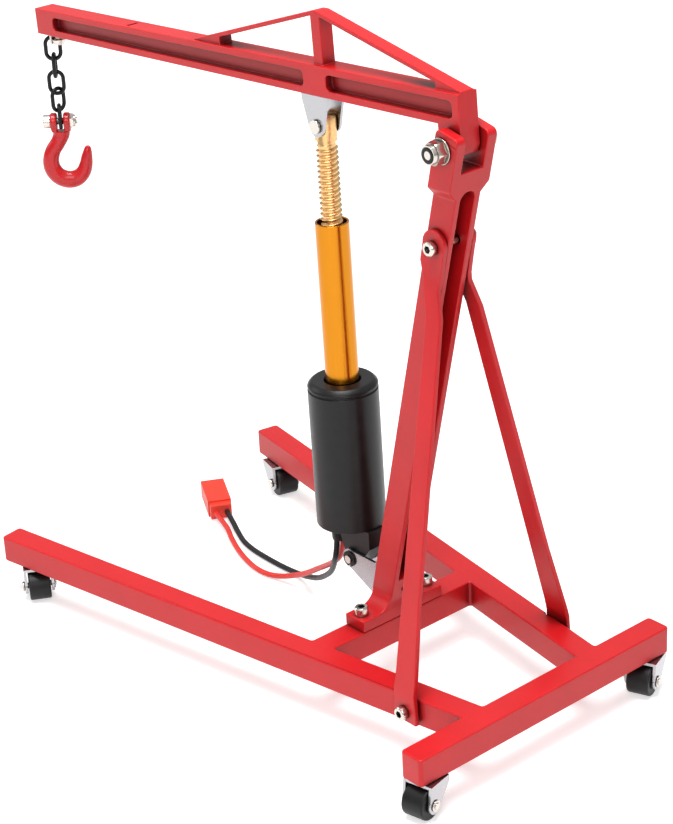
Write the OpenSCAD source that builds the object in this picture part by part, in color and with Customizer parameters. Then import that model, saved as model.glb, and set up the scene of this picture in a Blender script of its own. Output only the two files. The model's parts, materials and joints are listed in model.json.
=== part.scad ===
// Engine hoist crane, about a tenth of full size, driven by an electric screw actuator.
// Millimetres. The floor is z = 0, the boom points to -X, and y = 0 is the middle plane.

/* [Base frame] */
// Height and depth of the square base bars
bar = 8; // [6:0.5:10]
// Width of the legs and the cross bars, seen from above
bar_width = 7.5; // [6:0.5:10]
// Gap between the floor and the underside of the bars
ride_height = 10.5; // [10:0.5:12]
// Front edge of the rear cross bar
rear_bar_x = 95.8; // [85:1:110]
// Length of the rear cross bar
rear_bar_length = 92.4; // [80:1:110]
// Front edge of the middle cross bar, under the mast
mid_bar_x = 39.2; // [34:0.2:44]
// Front end of the legs
leg_tip_x = -73.5; // [-90:0.5:-60]
// Outer width over both legs at the rear cross bar
leg_spread_rear = 49.5; // [44:0.5:56]
// Outer width over both legs at their front ends
leg_spread_front = 107.4; // [90:1:120]

/* [Mast] */
// Lean of the mast towards the rear, in degrees
mast_lean = 13.6; // [10:0.1:16]
// Depth of the mast, measured level
mast_depth = 8.1; // [7:0.1:10]
// Width of the mast column
mast_width = 8.5; // [8:0.1:10]
// Width of the fork at the top
fork_width = 13.6; // [12.5:0.1:16]
// Width of the slot that takes the boom
fork_slot = 7.4; // [7.2:0.1:8]
// Height of the foot plate
foot_plate = 3.4; // [2.5:0.1:5]
// Length of the foot plate across the machine
foot_length = 29.4; // [26:0.2:36]
// Width of the channel in the rear face
channel_width = 4.9; // [3:0.1:5.2]
// Radius of the fillets beside the foot
foot_fillet = 5; // [3:0.5:6]

/* [Boom] */
// Height of the boom pivot above the floor
pivot_z = 161.5; // [150:0.5:175]
// Slope of the boom at rest, in degrees
boom_slope = 3.3; // [0:0.1:6]
// Distance from the pivot to the boom's tip
boom_reach = 178; // [160:1:200]
// Width of the boom
boom_width = 6.5; // [6:0.1:7]
// Height of the boom at its tip
tip_height = 7.6; // [6.5:0.1:9]
// Height of the boom at the mast
rear_height = 8.3; // [7:0.1:9]
// Web left between the side pockets
boom_web = 2; // [1:0.1:3]
// Height of the truss above the boom
truss_rise = 13.9; // [10:0.1:18]
// Width of the truss
truss_width = 4.3; // [3:0.1:6]
// Thickness of the truss straps
strap = 1.15; // [0.9:0.05:1.6]

/* [Actuator] */
// Distance of the upper pin in front of the boom pivot
upper_pin_reach = 51.1; // [46:0.1:56]
// Depth of the upper pin below the boom pivot
upper_pin_drop = 5.8; // [5:0.1:8]
// Outer radius of the lead screw
screw_r = 2.8; // [2:0.1:3]
// Pitch of the lead screw's thread
screw_pitch = 1.86; // [1.5:0.02:2.5]
// Outer radius of the gold tube
tube_r = 4.6; // [4.4:0.1:5.5]
// Wall of the gold tube
tube_wall = 0.6; // [0.5:0.05:0.7]
// Outer radius of the motor housing
housing_r = 9.75; // [9:0.05:11]
// Wall of the motor housing
housing_wall = 1.2; // [0.8:0.1:1.4]
// Length of the motor housing
housing_length = 40.7; // [38:0.1:44]

/* [Braces] */
// Thickness of the brace bars
brace_t = 1.4; // [1:0.1:2]
// Width of the braces at their middle
brace_width = 5.7; // [5:0.1:7]

/* [Casters] */
// Diameter of the rollers
wheel_d = 9; // [8:0.1:9.2]
// Width of the rollers
wheel_width = 6.5; // [5:0.1:6.6]
// Thickness of the caster fork plates
fork_t = 0.8; // [0.6:0.05:0.9]
// Distance from the swivel to the roller's axle
trail = 2.8; // [2:0.1:3.5]

/* [Chain and hook] */
// Wire diameter of the chain
wire = 1.2; // [1:0.05:1.3]
// Outer length of a link
link_length = 8; // [7.6:0.1:9]
// Outer width of a link
link_width = 5.5; // [5.2:0.1:6]
// Thickness of the hook
hook_t = 3.4; // [2.5:0.1:4]

/* [Fits] */
// Gap between a pin and what turns on it, on the radius
pin_gap = 0.05; // [0.03:0.01:0.1]
// Gap between moving faces
face_gap = 0.1; // [0.05:0.01:0.2]

/* [Hidden] */
$fn = 48;

RED = [0.86, 0.13, 0.13];
GOLD = [0.93, 0.62, 0.16];
BRASS = [0.85, 0.68, 0.3];
STEEL = [0.75, 0.76, 0.78];
BLACK = [0.08, 0.08, 0.09];
GREY = [0.3, 0.3, 0.32];

// Base frame
base_top = ride_height + bar;
leg_slope = (leg_spread_front - leg_spread_rear) / 2 / (rear_bar_x - leg_tip_x);
leg_angle = atan(leg_slope);
function leg_outer(x) = leg_spread_rear / 2 + leg_slope * (rear_bar_x - x);

// Mast
lean = tan(mast_lean);
foot_x = mid_bar_x;
knee_z = base_top + 7.6;
channel_wall = 2;
function mast_front(z) = foot_x - 0.2 + lean * (z - knee_z);
function mast_rear(z) = mast_front(z) + mast_depth;
function mast_mid(z) = (mast_front(z) + mast_rear(z)) / 2;
pivot_x = mast_mid(pivot_z) - 1;
slot_floor_z = pivot_z - 5.9;
fork_step_z = slot_floor_z - 7.1;
mast_top = 4.6;
foot_screw_y = foot_length / 2 - 2.7;

// Fasteners: nominal radii, heads and nuts
m3_r = 1.5;
m2_r = 1;
head_r = 1.95;
head_h = 2;
socket_h = 1.1;

// Boom, in its own frame: u along the boom from the pivot to the rear, w square to it
boom_top = 13.5;
boom_under_tip = boom_top - tip_height;
boom_under_rear = boom_top - rear_height;
rear_end = 3.2;
block_front = -4.6;
bush_r = 2.2;
rim = 1.9;
pocket_r = 1.4;
apex_u = -49.4;
truss_front_u = -102.3;
post_half = 1.8;
bracket_u = -upper_pin_reach * cos(boom_slope) - upper_pin_drop * sin(boom_slope);
bracket_w = upper_pin_reach * sin(boom_slope) - upper_pin_drop * cos(boom_slope);
bracket_half = 3.15;
bracket_t = 0.8;
upper_pin_r = 1.1;
function under(u) = boom_under_rear + (boom_under_tip - boom_under_rear) * -u / boom_reach;

// Actuator: its axis runs down from the upper pin
upper_x = pivot_x - upper_pin_reach;
upper_z = pivot_z - upper_pin_drop;
axis_tilt = -1.367;
cap_top = -71.9;
cap_t = 2.1;
housing_top = cap_top - cap_t;
housing_bottom = housing_top - housing_length;
housing_floor = 1.5;
tube_top = -26.7;
tube_bottom = housing_top - 9;
tube_floor = 3;
screw_bottom = -49.2;
neck_half = 2;
neck_top = 3;
neck_bottom = -5.2;
bearing_t = 3;
bearing_r = housing_r - housing_wall - face_gap;
spigot_t = 1.6;
coupler_bottom = tube_bottom - 5;
gearbox_bottom = coupler_bottom - 7.5;
motor_r = housing_r - housing_wall - 0.3;

// Tail pin and the bracket on the mast
tail_x = foot_x - 9.6;
tail_z = base_top + 12.6;
tail_pin_r = 1.2;
tail_half = 2.9;
tail_bracket_half = 4;
tail_bracket_t = 0.9;
tail_bracket_top = base_top + 15.2;
tail_bracket_low = base_top + 5.2;
tail_screw_z = base_top + 11.5;

// Braces
brace_bolt_z = pivot_z - 26.6;
brace_bolt_x = mast_mid(brace_bolt_z) + 0.2;
brace_foot_x = brace_bolt_x + 9.2;
brace_head_z = brace_bolt_z + 0.6;
brace_bend_z = brace_bolt_z - 9.4;
brace_foot_y = leg_outer(brace_foot_x) + 0.1;
brace_foot_bend_z = base_top + 1.5;
brace_foot_z = ride_height + 1;
foot_screw_z = ride_height + 3.8;

// Casters: swivel x and y, and the direction of the axle in degrees
rear_swivel_x = rear_bar_x + 4;
rear_swivel_y = rear_bar_length / 2 - 5.2;
front_swivel_x = leg_tip_x + 8.3;
front_swivel_y = leg_outer(front_swivel_x) - bar_width / 2 - 1;
CASTERS = [[rear_swivel_x, -rear_swivel_y, 12], [rear_swivel_x, rear_swivel_y, 21],
  [front_swivel_x, -front_swivel_y, 60], [front_swivel_x, front_swivel_y, 74]];
axle_z = wheel_d / 2;
axle_r = 0.9;
fork_half = wheel_width / 2 + 0.35 + fork_t;
fork_top_z = ride_height - face_gap;
rivet_r = 1.2;

// Chain and hook. The chain hangs at the boom's tip; angles are those of each link's plane.
chain_top_z = pivot_z - 5.1;
link_gap = 0.3;
eye_r = 0.45;
eye_half = 1.7;
eye_u = 2.2 - boom_reach;
eye_z = chain_top_z - wire - link_gap - eye_r;
eye_w = (eye_z - pivot_z - eye_u * sin(boom_slope)) / cos(boom_slope);
chain_x = pivot_x + eye_u * cos(boom_slope) - eye_w * sin(boom_slope);
chain_screw_u = 6 - boom_reach;
link_pitch = link_length - 2 * wire - link_gap;
LINK_ANGLES = [50, 140, 45, 96, 146];
link_bend = (link_width - wire) / 2;
hook_bolt_r = 1;
hook_angle = 50;
hook_bolt_z = chain_top_z - 4 * link_pitch - link_length + wire + link_gap + hook_bolt_r;
hook_slot = 2;
lobe_r = 2.7;
function link_z(i) = chain_top_z - link_length / 2 - i * link_pitch;

// Leads: radius and hand-chosen points from the housing to the plug
lead_r = 0.85;
boot_length = 8;
BLACK_ROUTE = [[20.8, -1.1, 32.6], [20.9, -1.5, 30], [20.3, -1.7, 26.6], [13.1, 2.4, 18],
  [1.7, 7.4, 9.4], [-8.5, 11.1, 4.2], [-16.3, 13.1, 1.6], [-21.8, 13.3, 1], [-27.4, 13.2, 1],
  [-33.5, 13.4, 1], [-39, 13.9, 1], [-44.6, 15.2, 1], [-50.4, 17.5, 1.3], [-54.4, 19, 2.3],
  [-61.5, 22.1, 2.7]];
RED_ROUTE = [[20.8, 1.1, 32.6], [20.4, 1.2, 29.6], [17.4, 2.3, 24.5], [9.5, 5.5, 18],
  [0.8, 7.5, 12], [-6.1, 8.5, 7.4], [-12.3, 8.8, 4], [-17.8, 8.1, 1.9], [-22.7, 7, 1.1],
  [-28.4, 6.9, 1], [-35.1, 8.3, 1], [-41.9, 10.6, 1], [-48.5, 13.4, 1.3], [-53.5, 15.6, 2.3],
  [-63.3, 18.9, 2.7]];
ring_steps = 3;
ring_sides = 8;
plug_at = [-62.4, 20.5, 0];
plug_angle = 151;
plug_length = 18;
plug_width = 7.5;
plug_h = 5.5;

// A flat shape in x and z, drawn out from y0 to y1
module across(y0, y1) {
  translate([0, y1, 0]) rotate([90, 0, 0]) linear_extrude(y1 - y0) children();
}

// A flat shape in y and z, drawn out from x0 to x1
module along(x0, x1) {
  translate([x0, 0, 0]) rotate([90, 0, 90]) linear_extrude(x1 - x0) children();
}

// A cylinder across the machine, from y0 to y1
module pin(x, z, r, y0, y1) {
  translate([x, y1, z]) rotate([90, 0, 0]) cylinder(r = r, h = y1 - y0);
}

// A convex outline with round corners of radius r about the given centres, taken anticlockwise
module rounded(centres, r) {
  n = len(centres);
  steps = 6;
  function turn(i) =
    let (d = centres[(i + 1) % n] - centres[i]) atan2(d[1], d[0]) - 90;
  function span(i) = (turn(i) - turn((i + n - 1) % n) + 360) % 360;
  polygon([for (i = [0 : n - 1], k = [0 : steps])
    let (a = turn(i) - span(i) * (1 - k / steps)) centres[i] + r * [cos(a), sin(a)]]);
}

// A cap screw: the head's seat is z = 0, the shank goes down
module cap_screw(r, length, head, height) {
  difference() {
    union() {
      translate([0, 0, -length]) cylinder(r = r, h = length + 0.2);
      cylinder(r = head, h = height - 0.3);
      translate([0, 0, height - 0.3]) cylinder(r1 = head, r2 = head - 0.3, h = 0.3);
    }
    translate([0, 0, height - socket_h]) cylinder(r = head * 0.55, h = socket_h + 1, $fn = 6);
  }
}

// A hexagon nut with a collar: its seat is z = 0 and it grows upwards
module lock_nut(flats, bore, height) {
  difference() {
    union() {
      intersection() {
        cylinder(r = flats / 2 / cos(30), h = height * 0.7, $fn = 6);
        cylinder(r1 = flats * 0.62, r2 = flats * 0.53, h = height * 0.7);
      }
      cylinder(r = flats * 0.44, h = height);
    }
    translate([0, 0, -1]) cylinder(r = bore, h = height + 2);
  }
}

module leg(side) {
  length = (rear_bar_x + 3 - leg_tip_x) / cos(leg_angle);
  width = bar_width * cos(leg_angle);
  scale([1, side, 1])
    translate([leg_tip_x, leg_outer(leg_tip_x), 0])
      rotate([0, 0, -leg_angle])
        translate([0, -width, ride_height]) cube([length, width, bar]);
}

module base_frame() {
  mid_half = leg_outer(mid_bar_x) - 3;
  color(RED)
    difference() {
      union() {
        translate([rear_bar_x, -rear_bar_length / 2, ride_height])
          cube([bar_width, rear_bar_length, bar]);
        translate([mid_bar_x, -mid_half, ride_height]) cube([bar_width, 2 * mid_half, bar]);
        leg(1);
        leg(-1);
      }
      for (side = [-1, 1]) {
        translate([foot_x + bar_width / 2, side * foot_screw_y, base_top - 5])
          cylinder(r = m2_r, h = 6);
        scale([1, side, 1]) {
          translate([brace_foot_x - 4.6, brace_foot_y, ride_height - 1])
            cube([9.2, 10, bar + 2]);
          pin(brace_foot_x - 0.2, foot_screw_z, m2_r, brace_foot_y - 5, brace_foot_y + 1);
        }
      }
      for (c = CASTERS)
        translate([c[0], c[1], ride_height - 1]) cylinder(r = rivet_r, h = 4.5);
    }
}

// Side view of the mast
module mast_side() {
  c = [sin(mast_lean), cos(mast_lean)];
  half = mast_depth * cos(mast_lean) / 2;
  n = [cos(mast_lean), -sin(mast_lean)];
  mid = [mast_mid(pivot_z), pivot_z] + c * (mast_top - 2);
  polygon([[foot_x, base_top], [foot_x + bar_width, base_top],
    [foot_x + bar_width, base_top + foot_plate],
    [mast_rear(base_top + foot_plate + 2), base_top + foot_plate + 2],
    mid + n * half, mid - n * half, [mast_front(knee_z), knee_z], [foot_x, knee_z - 0.8]]);
  rounded([mid - n * (half - 1.5), mid + n * (half - 1.5), mid + n * (half - 1.5) + c * 0.5,
    mid - n * (half - 1.5) + c * 0.5], 1.5);
}

// Front view of the mast
module mast_front_view() {
  h = mast_width / 2;
  f = fork_width / 2;
  plate_top = base_top + foot_plate;
  top = pivot_z + mast_top + 2;
  difference() {
    polygon([[-foot_length / 2, base_top], [foot_length / 2, base_top],
      [foot_length / 2, plate_top], [h + foot_fillet, plate_top],
      [h, plate_top + foot_fillet], [h, fork_step_z], [f, fork_step_z + f - h], [f, top],
      [-f, top], [-f, fork_step_z + f - h], [-h, fork_step_z], [-h, plate_top + foot_fillet],
      [-h - foot_fillet, plate_top], [-foot_length / 2, plate_top]]);
    for (s = [-1, 1])
      translate([s * (h + foot_fillet), plate_top + foot_fillet]) circle(foot_fillet);
  }
}

module mast() {
  channel_low = base_top + 13.7;
  channel_high = fork_step_z + 2.7;
  color(RED)
    difference() {
      intersection() {
        across(-foot_length / 2, foot_length / 2) mast_side();
        along(foot_x - 10, pivot_x + 30) mast_front_view();
      }
      translate([mast_front(slot_floor_z) - 20, -fork_slot / 2, slot_floor_z])
        cube([60, fork_slot, 40]);
      translate([mast_front(channel_low) + channel_wall, 0, channel_low])
        rotate([0, mast_lean, 0])
          along(0, mast_depth + 2)
            slot_outline(channel_width / 2, (channel_high - channel_low) / cos(mast_lean));
      pin(pivot_x, pivot_z, m3_r + pin_gap, -fork_width, fork_width);
      pin(brace_bolt_x, brace_bolt_z, m2_r + pin_gap, -mast_width, mast_width);
      for (s = [-1, 1])
        translate([foot_x + bar_width / 2, s * foot_screw_y, base_top - 1])
          cylinder(r = m2_r + pin_gap, h = foot_plate + 2);
      translate([mast_front(tail_screw_z), 0, tail_screw_z])
        rotate([0, 90 + mast_lean, 0]) translate([0, 0, -1]) cylinder(r = m2_r, h = 5);
      translate([mast_rear(base_top + 8.5), 0, base_top + 8.5])
        rotate([0, 90 + mast_lean, 0]) translate([0, 0, -1.5]) cylinder(r = 0.8, h = 3);
    }
}

// A slot with a square foot and a round head, from z = 0 to z = height
module slot_outline(r, height) {
  translate([-r, 0]) square([2 * r, height - r]);
  translate([0, height - r]) circle(r);
}

module mast_screws() {
  color(STEEL)
    for (s = [-1, 1])
      translate([foot_x + bar_width / 2, s * foot_screw_y, base_top + foot_plate])
        cap_screw(m2_r, foot_plate + 4.5, head_r, 2.5);
}

// Side view of a brace: centre line and width at a few heights
module brace_side() {
  steps = [[brace_foot_x, brace_foot_z, 8.4], [brace_foot_x - 0.3, base_top + 5, 7.5],
    [brace_foot_x - 2.2, base_top + 24, brace_width + 0.7],
    [brace_foot_x - 4.8, base_top + 57, brace_width],
    [brace_foot_x - 8, base_top + 98, brace_width - 0.5],
    [mast_mid(brace_bend_z) + 1.5, brace_bend_z - 2, brace_width - 0.5],
    [mast_mid(brace_bend_z + 5) + 0.2, brace_bend_z + 5, mast_depth - 0.1],
    [brace_bolt_x, brace_head_z, mast_depth - 0.1]];
  front = [for (s = steps) [s[0] - s[2] / 2, s[1]]];
  back = [for (i = [len(steps) - 1 : -1 : 0]) [steps[i][0] + steps[i][2] / 2, steps[i][1]]];
  polygon(concat(front, back));
}

// Front view of a brace: its bends
module brace_front() {
  inner = mast_width / 2;
  low = brace_foot_z - 1;
  high = brace_bolt_z + 8;
  polygon([[inner, high], [inner, brace_bend_z], [brace_foot_y, brace_foot_bend_z],
    [brace_foot_y, low], [brace_foot_y + brace_t, low], [brace_foot_y + brace_t, brace_foot_bend_z + 0.3],
    [inner + brace_t, brace_bend_z + 0.3], [inner + brace_t, high]]);
}

module brace(side) {
  color(RED)
    scale([1, side, 1])
      difference() {
        union() {
          intersection() {
            across(0, brace_foot_y + 5) brace_side();
            along(brace_bolt_x - 10, brace_foot_x + 10) brace_front();
          }
          pin(brace_bolt_x, brace_head_z, (mast_depth - 0.1) / 2, mast_width / 2,
            mast_width / 2 + brace_t);
        }
        pin(brace_bolt_x, brace_bolt_z, m2_r + pin_gap, 0, mast_width);
        pin(brace_foot_x - 0.2, foot_screw_z, m2_r + pin_gap, brace_foot_y - 2, brace_foot_y + 5);
      }
}

module brace_left() {
  brace(-1);
}

module brace_right() {
  brace(1);
}

module brace_top_bolt() {
  seat = mast_width / 2 + brace_t;
  color(STEEL)
    translate([brace_bolt_x, -seat, brace_bolt_z])
      rotate([90, 0, 0]) cap_screw(m2_r, 2 * seat + 2.6, head_r, head_h);
}

module brace_top_nut() {
  seat = mast_width / 2 + brace_t;
  color(STEEL)
    translate([brace_bolt_x, seat, brace_bolt_z]) rotate([-90, 0, 0]) lock_nut(4, m2_r, 2.2);
}

module brace_foot_screws() {
  color(STEEL)
    for (s = [-1, 1])
      translate([brace_foot_x - 0.2, s * (brace_foot_y + brace_t), foot_screw_z])
        rotate([s * -90, 0, 0]) cap_screw(m2_r, brace_t + 4.5, head_r, head_h);
}

// The bracket on the mast's front face that takes the actuator's tail pin
module lower_bracket() {
  face_low = knee_z + 0.2;
  c = [sin(mast_lean), cos(mast_lean)];
  low = [mast_front(face_low), face_low];
  high = [mast_front(tail_bracket_top), tail_bracket_top];
  t = [cos(mast_lean), -sin(mast_lean)] * tail_bracket_t;
  color(STEEL)
    difference() {
      union() {
        across(-tail_bracket_half, tail_bracket_half) polygon([low, high, high - t, low - t]);
        for (s = [-1, 1])
          scale([1, s, 1])
            across(tail_bracket_half - tail_bracket_t, tail_bracket_half) {
              polygon([[foot_x - 0.3, tail_bracket_low], [foot_x - 0.3, knee_z], low, high,
                [tail_x, tail_z + 2.6], [tail_x, tail_z - 2.9]]);
              translate([tail_x, tail_z]) circle(2.9);
            }
      }
      pin(tail_x, tail_z, tail_pin_r, -9, 9);
      translate([mast_front(tail_screw_z), 0, tail_screw_z])
        rotate([0, 90 + mast_lean, 0]) translate([0, 0, -3]) cylinder(r = m2_r, h = 4);
    }
}

module lower_bracket_screw() {
  color(STEEL)
    translate([mast_front(tail_screw_z), 0, tail_screw_z])
      rotate([0, mast_lean - 90, 0])
        translate([0, 0, tail_bracket_t]) cap_screw(m2_r, tail_bracket_t + 3.8, head_r, 1.5);
}

module tail_pin() {
  reach = tail_bracket_half + 1;
  color(STEEL) {
    pin(tail_x, tail_z, tail_pin_r, -reach, tail_bracket_half + 0.1);
    pin(tail_x, tail_z, tail_pin_r + 0.5, tail_bracket_half, tail_bracket_half + 0.7);
  }
}

module tail_clip() {
  color(BLACK)
    difference() {
      pin(tail_x, tail_z, tail_pin_r + 1.1, -tail_bracket_half - 0.5, -tail_bracket_half);
      pin(tail_x, tail_z, tail_pin_r, -9, 0);
      translate([tail_x - 0.5, -9, tail_z - 5]) cube([1, 9, 5]);
    }
}

module boom_bolt() {
  color(STEEL)
    translate([pivot_x, fork_width / 2 + 0.5, pivot_z])
      rotate([-90, 0, 0]) cap_screw(m3_r, fork_width + 5.1, 2.75, 2.6);
}

module boom_nut() {
  color(STEEL)
    translate([pivot_x, -fork_width / 2 - 0.5, pivot_z])
      rotate([90, 0, 0]) lock_nut(5.5, m3_r, 4);
}

module boom_washers() {
  color(STEEL)
    for (s = [0, 1])
      difference() {
        mirror([0, s, 0]) pin(pivot_x, pivot_z, 3.4, fork_width / 2, fork_width / 2 + 0.5);
        pin(pivot_x, pivot_z, m3_r, -20, 20);
      }
}

// Everything on the boom is drawn in its own frame
module on_boom() {
  translate([pivot_x, 0, pivot_z]) rotate([0, -boom_slope, 0]) children();
}

module boom_side() {
  polygon([[-boom_reach, boom_under_tip], [block_front, under(block_front)], [block_front, -1.4],
    [block_front + 1.5, -2.9], [0, -2.9], [rear_end - 0.9, -2.1], [rear_end, 0],
    [rear_end, boom_top], [-boom_reach, boom_top]]);
}

// The truss on top: an outer outline less two windows
module truss_side() {
  top = boom_top + truss_rise;
  flat = 1;
  foot = boom_top - 0.5;
  slope_f = truss_rise / (apex_u - flat - truss_front_u);
  slope_r = (truss_rise - 0.4) / (rear_end - apex_u - flat);
  drop_f = strap / cos(atan(slope_f));
  drop_r = strap / cos(atan(slope_r));
  post_l = apex_u - post_half;
  post_r = apex_u + post_half;
  w_l = top - slope_f * (post_half - flat) - drop_f;
  w_r = top - slope_r * (post_half - flat) - drop_r;
  difference() {
    polygon([[truss_front_u, foot], [truss_front_u, boom_top], [apex_u - flat, top],
      [apex_u + flat, top], [rear_end, boom_top + 0.4], [rear_end, foot]]);
    polygon([[post_l, boom_top], [post_l, w_l],
      [truss_front_u + 12, boom_top + slope_f * 12 - drop_f],
      [truss_front_u + 12, boom_top]]);
    polygon([[post_r, boom_top], [post_r, w_r],
      [rear_end - 9, boom_top + 0.4 + slope_r * 9 - drop_r], [rear_end - 9, boom_top]]);
  }
}

module pocket(u0, u1) {
  depth = (boom_width - boom_web) / 2;
  r = pocket_r;
  for (s = [0, 1])
    mirror([0, s, 0])
      across(boom_width / 2 - depth, boom_width / 2 + 1)
        rounded([[u0 + r, under(u0) + rim + r], [u1 - r, under(u1) + rim + r],
          [u1 - r, boom_top - rim - r], [u0 + r, boom_top - rim - r]], r);
}

module boom() {
  divider = apex_u + 3.5;
  color(RED)
    on_boom()
      difference() {
        union() {
          across(-boom_width / 2, boom_width / 2) boom_side();
          across(-truss_width / 2, truss_width / 2) truss_side();
        }
        pocket(-boom_reach + 8.6, divider - 9);
        pocket(divider, 0.8);
        pin(0, 0, bush_r, -9, 9);
        translate([-boom_reach + 44.4, -1.9, boom_top - 1]) cube([1.2, 3.8, 2]);
        translate([bracket_u, 0, under(bracket_u) - 1]) cylinder(r = m2_r, h = 2.6);
        translate([chain_screw_u, 0, boom_under_tip - 1]) cylinder(r = m2_r, h = 5);
        for (s = [-1, 1])
          eye_leg(s) cylinder(r = eye_r, h = boom_under_tip + 3 - eye_w);
      }
}

module boom_bush() {
  half = boom_width / 2 + 0.3;
  color(BRASS)
    on_boom()
      difference() {
        pin(0, 0, bush_r, -half, half);
        pin(0, 0, m3_r + pin_gap, -9, 9);
      }
}

module upper_bracket() {
  top = under(bracket_u);
  w = 4.9;
  color(STEEL)
    on_boom()
      difference() {
        union() {
          across(-bracket_half, bracket_half)
            polygon([[bracket_u - w, under(bracket_u - w)], [bracket_u + w, under(bracket_u + w)],
              [bracket_u + w, top - bracket_t], [bracket_u - w, top - bracket_t]]);
          for (s = [-1, 1])
            scale([1, s, 1])
              across(bracket_half - bracket_t, bracket_half) {
                polygon([[bracket_u - w, under(bracket_u - w)],
                  [bracket_u + w, under(bracket_u + w)],
                  [bracket_u + w, top - 1.2], [bracket_u + 2.8, bracket_w - 0.8],
                  [bracket_u - 2.8, bracket_w - 0.8], [bracket_u - w, top - 1.2]]);
                translate([bracket_u, bracket_w]) circle(2.9);
              }
        }
        pin(bracket_u, bracket_w, upper_pin_r, -9, 9);
        translate([bracket_u, 0, top - 2]) cylinder(r = m2_r, h = 4);
      }
}

module upper_bracket_screw() {
  color(BRASS)
    on_boom()
      translate([bracket_u, 0, under(bracket_u) - bracket_t])
        rotate([180, 0, 0]) cap_screw(m2_r, bracket_t + 1.5, 1.5, 1.5);
}

module upper_pin() {
  color(STEEL)
    on_boom() {
      pin(bracket_u, bracket_w, upper_pin_r, -bracket_half - 0.1, bracket_half + 0.1);
      pin(bracket_u, bracket_w, upper_pin_r + 0.8, -bracket_half - 0.8, -bracket_half);
      pin(bracket_u, bracket_w, upper_pin_r + 0.8, bracket_half, bracket_half + 0.8);
    }
}

module chain_screw() {
  color(STEEL)
    on_boom()
      translate([chain_screw_u, 0, boom_under_tip])
        rotate([180, 0, 0])
          difference() {
            union() {
              translate([0, 0, -3.8]) cylinder(r = m2_r, h = 5.6);
              translate([0, 0, 1.6]) cylinder(r1 = 2.2, r2 = 1.5, h = 1.6);
            }
            translate([0, 0, 2.3]) cylinder(r = 0.75, h = 2, $fn = 6);
          }
}

// One leg of the wire eye that carries the chain: z = 0 is the eye's bar
module eye_leg(s) {
  a = LINK_ANGLES[0] - 90;
  translate([eye_u + s * eye_half * cos(a), s * eye_half * sin(a), eye_w]) children();
}

module chain_eye() {
  color(STEEL)
    on_boom() {
      for (s = [-1, 1])
        eye_leg(s) translate([0, 0, -eye_r]) cylinder(r = eye_r, h = boom_under_tip + 3 - eye_w);
      translate([eye_u, 0, eye_w])
        rotate([0, 0, LINK_ANGLES[0] - 90])
          rotate([0, 90, 0]) translate([0, 0, -eye_half]) cylinder(r = eye_r, h = 2 * eye_half);
    }
}

// The actuator is drawn about its own axis, with the upper pin at the origin
module on_axis() {
  translate([upper_x, 0, upper_z]) rotate([0, axis_tilt, 0]) children();
}

// The thread is drawn as plain rings of the pitch
module lead_screw() {
  turns = floor((neck_bottom - screw_bottom) / screw_pitch);
  core = screw_r - 0.45;
  color(BRASS)
    on_axis()
      difference() {
        union() {
          intersection() {
            translate([0, 0, neck_bottom - 0.2])
              cylinder(r = screw_r, h = neck_top - neck_bottom + 0.2);
            across(-neck_half, neck_half)
              translate([-9, neck_bottom - 1]) square([18, neck_top - neck_bottom + 2]);
          }
          rotate_extrude()
            polygon(concat([[0, neck_bottom]], [for (i = [0 : turns - 1], k = [0 : 3])
              [k == 1 || k == 2 ? screw_r : core, neck_bottom - (i + k * 0.27) * screw_pitch]],
              [[0, neck_bottom - (turns - 0.19) * screw_pitch]]));
        }
        pin(0, 0, upper_pin_r + pin_gap, -9, 9);
      }
}

module outer_tube() {
  color(GOLD)
    on_axis()
      difference() {
        translate([0, 0, tube_bottom]) cylinder(r = tube_r, h = tube_top - tube_bottom);
        translate([0, 0, tube_bottom + tube_floor])
          cylinder(r = tube_r - tube_wall, h = tube_top - tube_bottom);
      }
}

module motor_housing() {
  color(BLACK)
    on_axis()
      difference() {
        union() {
          translate([0, 0, housing_bottom]) cylinder(r = housing_r, h = housing_length - 0.5);
          translate([0, 0, housing_bottom]) cylinder(r = housing_r - 0.4, h = housing_length);
        }
        translate([0, 0, housing_bottom + housing_floor])
          cylinder(r = housing_r - housing_wall, h = housing_length);
        grommet_place() cylinder(r = 2.6, h = 10, center = true);
      }
}

module housing_cap() {
  color(BLACK)
    on_axis()
      difference() {
        union() {
          translate([0, 0, housing_top - spigot_t])
            cylinder(r = housing_r - housing_wall, h = spigot_t + 0.1);
          translate([0, 0, housing_top]) cylinder(r = housing_r, h = cap_t - 1.2);
          translate([0, 0, cap_top - 1.2]) cylinder(r1 = housing_r, r2 = housing_r - 1.2, h = 1.2);
        }
        translate([0, 0, housing_top - 5]) cylinder(r = tube_r + 0.4, h = 10);
      }
}

module thrust_bearing() {
  top = housing_top - spigot_t;
  color(STEEL)
    on_axis()
      difference() {
        translate([0, 0, top - bearing_t]) cylinder(r = bearing_r + face_gap, h = bearing_t);
        translate([0, 0, top - bearing_t - 1]) cylinder(r = tube_r + pin_gap, h = bearing_t + 2);
      }
}

module coupler() {
  color(STEEL)
    on_axis()
      translate([0, 0, coupler_bottom + face_gap])
        cylinder(r = 3, h = tube_bottom - face_gap - coupler_bottom);
}

module gearbox() {
  color(GREY)
    on_axis()
      translate([0, 0, gearbox_bottom])
        cylinder(r = motor_r, h = coupler_bottom - gearbox_bottom);
}

module motor() {
  color(GREY)
    on_axis()
      translate([0, 0, housing_bottom + housing_floor + 3])
        cylinder(r = motor_r, h = gearbox_bottom - housing_bottom - housing_floor - 3);
}

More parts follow.
